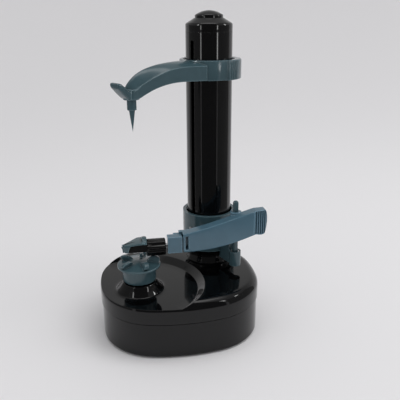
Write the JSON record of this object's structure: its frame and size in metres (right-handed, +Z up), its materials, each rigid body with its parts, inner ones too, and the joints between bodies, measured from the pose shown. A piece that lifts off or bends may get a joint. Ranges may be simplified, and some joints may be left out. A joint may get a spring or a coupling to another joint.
{
  "type": "electric potato peeler",
  "caption": "Tabletop electric peeler: a turning food holder, a centring spike on a sliding arm and a blade arm lifted by a lead screw in the column.",
  "frame": {"origin": "centre of the base outline at the underside, which rests on the table on its feet", "axes": "+X to the right of the base, +Y to its back, +Z up along the column"},
  "size_m": [0.1531, 0.127, 0.2862],
  "materials": {
    "black_plastic": "moulded glossy black ABS",
    "teal_plastic": "moulded satin grey-teal ABS",
    "steel": "bright steel",
    "rubber": "matt",
    "brass": "turned",
    "nylon": "natural nylon",
    "inner_plastic": "grey inner mouldings",
    "battery": "printed cell jackets",
    "wire": "insulated wire"
  },
  "bodies": {
    "base": {"base_lower_shell": "black_plastic", "base_upper_shell": "black_plastic", "rubber_feet": "rubber", "base_screws": "steel", "battery_tray": "inner_plastic", "batteries": "battery", "battery_contacts": "steel", "dc_jack": "inner_plastic", "gear_plate": "inner_plastic", "plate_screws": "steel", "motor": "steel", "motor_screws": "steel", "gear_axles": "steel", "spindle_bush": "brass", "lead_screw_bushes": "brass", "tower_tube": "black_plastic", "tower_cap": "black_plastic", "button_spring": "steel", "power_switch": "inner_plastic", "tower_screws": "steel", "wiring": "wire"},
    "door": {"battery_door": "black_plastic"},
    "spindle": {"food_holder": "teal_plastic", "spindle_shaft": "steel", "spindle_gear": "nylon"},
    "drive_wheel": {"drive_gear": "nylon"},
    "second_wheel": {"second_gear": "nylon"},
    "first_wheel": {"first_gear": "nylon"},
    "rotor": {"motor_pinion": "brass"},
    "screw": {"lead_screw": "steel", "lead_screw_gear": "nylon"},
    "carriage": {"carriage_collar": "teal_plastic", "follower_nut": "nylon", "carriage_screws": "steel", "arm_spring": "steel"},
    "arm": {"peel_arm": "teal_plastic", "head_socket": "teal_plastic", "head_pin": "steel", "hinge_pin": "teal_plastic"},
    "blade_head": {"cartridge_grip": "black_plastic", "blade_guard": "teal_plastic", "peeler_blade": "steel"},
    "clamp": {"top_arm": "teal_plastic", "release_spring": "steel"},
    "release": {"arm_release": "black_plastic"},
    "spike": {"centring_spike": "teal_plastic", "spike_clip": "steel"},
    "button": {"power_button": "black_plastic"}
  },
  "joints": [
    {"name": "carriage_lift", "type": "slide", "parent": "base", "child": "carriage", "axis": [0, 0, 1], "range_m": [0, 0.09]},
    {"name": "spindle_spin", "type": "hinge", "parent": "base", "child": "spindle", "pos_m": [-0.038, -0.018, 0.06], "axis": [0, 0, -1], "range_deg": [-1, 6482]},
    {"name": "lead_screw_spin", "type": "hinge", "parent": "base", "child": "screw", "pos_m": [0.0355, 0.0335, 0.06], "axis": [0, 0, -1], "range_deg": [-1, 6482]},
    {"name": "drive_gear_spin", "type": "hinge", "parent": "base", "child": "drive_wheel", "pos_m": [-0.00557, 0.01391, 0.04], "axis": [0, 0, -1], "range_deg": [-4442, 1]},
    {"name": "second_gear_spin", "type": "hinge", "parent": "base", "child": "second_wheel", "pos_m": [-0.03415, 0.03041, 0.036], "axis": [0, 0, -1], "range_deg": [-1, 19984]},
    {"name": "first_gear_spin", "type": "hinge", "parent": "base", "child": "first_wheel", "pos_m": [-0.05112, 0.01344, 0.033], "axis": [0, 0, -1], "range_deg": [-79930, 2]},
    {"name": "motor_spin", "type": "hinge", "parent": "base", "child": "rotor", "pos_m": [-0.05424, -0.00428, 0.031], "axis": [0, 0, -1], "range_deg": [-5, 399620]},
    {"name": "arm_swing", "type": "hinge", "parent": "carriage", "child": "arm", "pos_m": [0.052, -0.0097, 0.09], "axis": [0, 0, 1], "range_deg": [0, 35], "stiffness_Nm_per_rad": 0.15, "springref_deg": -28.65},
    {"name": "head_swivel", "type": "hinge", "parent": "arm", "child": "blade_head", "pos_m": [-0.015, -0.017, 0.087], "axis": [1, 0, 0], "range_deg": [-15, 15]},
    {"name": "clamp_slide", "type": "slide", "parent": "base", "child": "clamp", "axis": [0, 0, 1], "range_m": [-0.088, 0.012]},
    {"name": "release_press", "type": "slide", "parent": "clamp", "child": "release", "axis": [-0.819, -0.5738, 0], "range_m": [0, 0.002], "stiffness_N_per_m": 500, "springref_m": -0.001, "deforming": ["release_spring"]},
    {"name": "spike_spin", "type": "hinge", "parent": "clamp", "child": "spike", "pos_m": [-0.038, -0.018, 0.21], "axis": [0, 0, 1], "continuous": true},
    {"name": "power_press", "type": "slide", "parent": "base", "child": "button", "axis": [0, 0, -1], "range_m": [0, 0.0015], "stiffness_N_per_m": 300, "springref_m": -0.001, "deforming": ["button_spring"]},
    {"name": "battery_door_slide", "type": "slide", "parent": "base", "child": "door", "axis": [-1, 0, 0], "range_m": [0, 0.006]}
  ],
  "couplings": [
    {"joint": "spindle_spin", "follows": "carriage_lift", "rad_per_m": 1256.6},
    {"joint": "lead_screw_spin", "follows": "carriage_lift", "rad_per_m": 1256.6},
    {"joint": "drive_gear_spin", "follows": "carriage_lift", "rad_per_m": -861.03},
    {"joint": "second_gear_spin", "follows": "carriage_lift", "rad_per_m": 3874.6},
    {"joint": "first_gear_spin", "follows": "carriage_lift", "rad_per_m": -15499},
    {"joint": "motor_spin", "follows": "carriage_lift", "rad_per_m": 77493}
  ]
}
